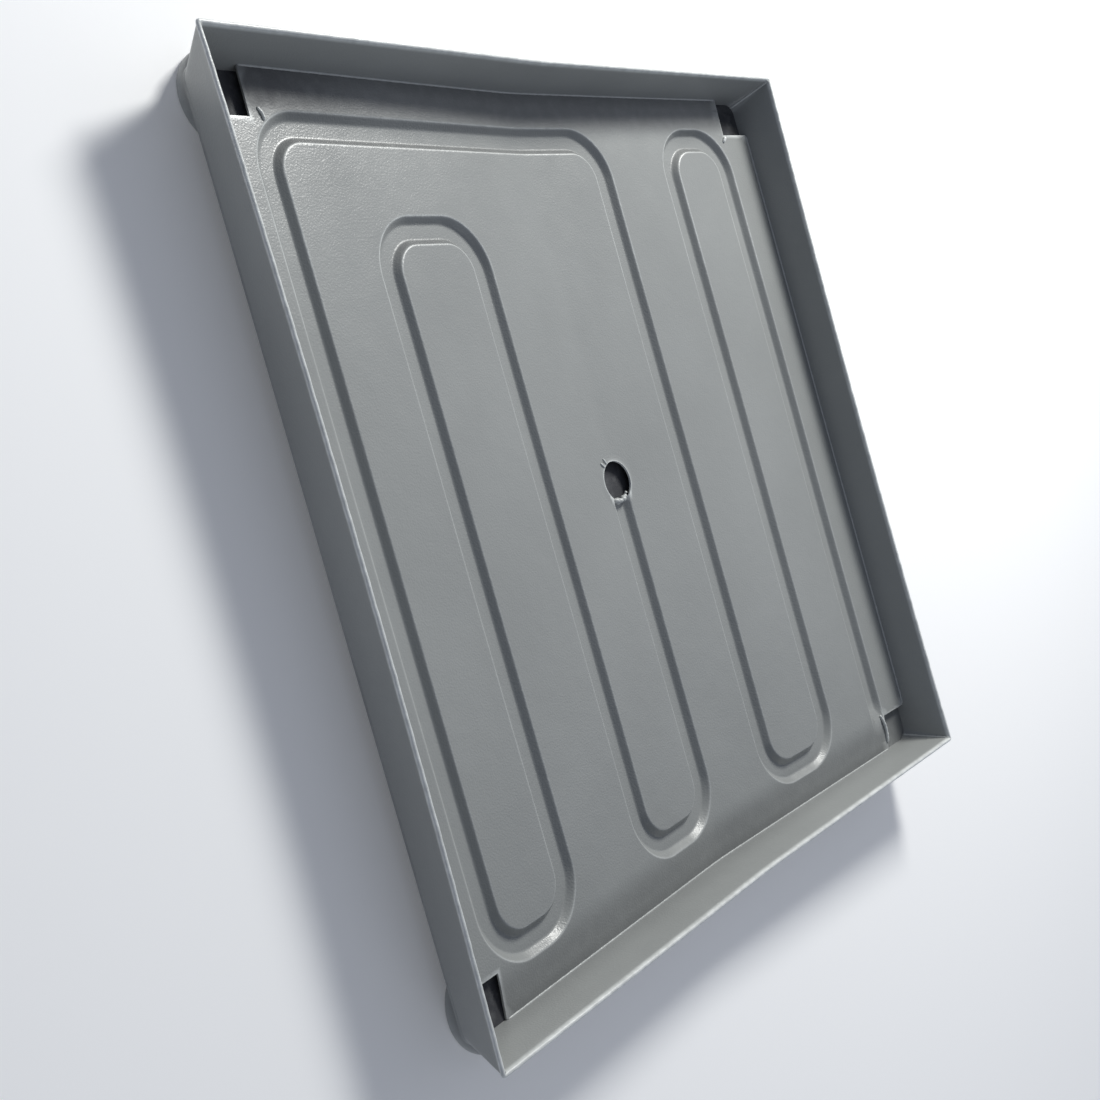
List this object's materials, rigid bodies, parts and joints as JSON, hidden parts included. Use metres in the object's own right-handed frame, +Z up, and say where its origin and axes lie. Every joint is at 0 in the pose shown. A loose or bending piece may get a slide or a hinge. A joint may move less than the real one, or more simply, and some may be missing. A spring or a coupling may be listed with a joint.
{
  "type": "manhole cover",
  "caption": "Square recessed access cover: open painted steel tray with flared walls, a folded floor pan with a pressed serpentine bead, a base plate and round pads.",
  "frame": {"origin": "centre of the plane that the four pads stand on", "axes": "+Z up out of the open tray, +X towards the right wall, across the fold; +Y towards the back wall, along the fold"},
  "size_m": [0.6, 0.62, 0.056],
  "materials": {
    "painted_sheet": "semi-gloss mid grey paint with a fine orange peel on sheet steel, bright worn edges",
    "painted_pan": "semi-gloss mid grey paint with a fine orange peel on pressed sheet steel",
    "painted_pad": "semi-gloss mid grey paint, rubbed on the underside",
    "painted_weld": "weld metal under the same grey paint, rippled"
  },
  "bodies": {
    "root": {"base_plate": "painted_sheet", "wall_left": "painted_sheet", "wall_right": "painted_sheet", "wall_front": "painted_sheet", "wall_back": "painted_sheet", "floor_pan": "painted_pan", "pad_front_left": "painted_pad", "pad_front_right": "painted_pad", "pad_back_left": "painted_pad", "pad_back_right": "painted_pad", "seam_weld_front_left": "painted_weld", "seam_weld_front_right": "painted_weld", "seam_weld_back_left": "painted_weld", "seam_weld_back_right": "painted_weld", "tack_welds_left": "painted_weld", "tack_welds_right": "painted_weld", "tack_welds_front": "painted_weld", "tack_welds_back": "painted_weld", "hole_weld": "painted_weld"}
  },
  "joints": []
}
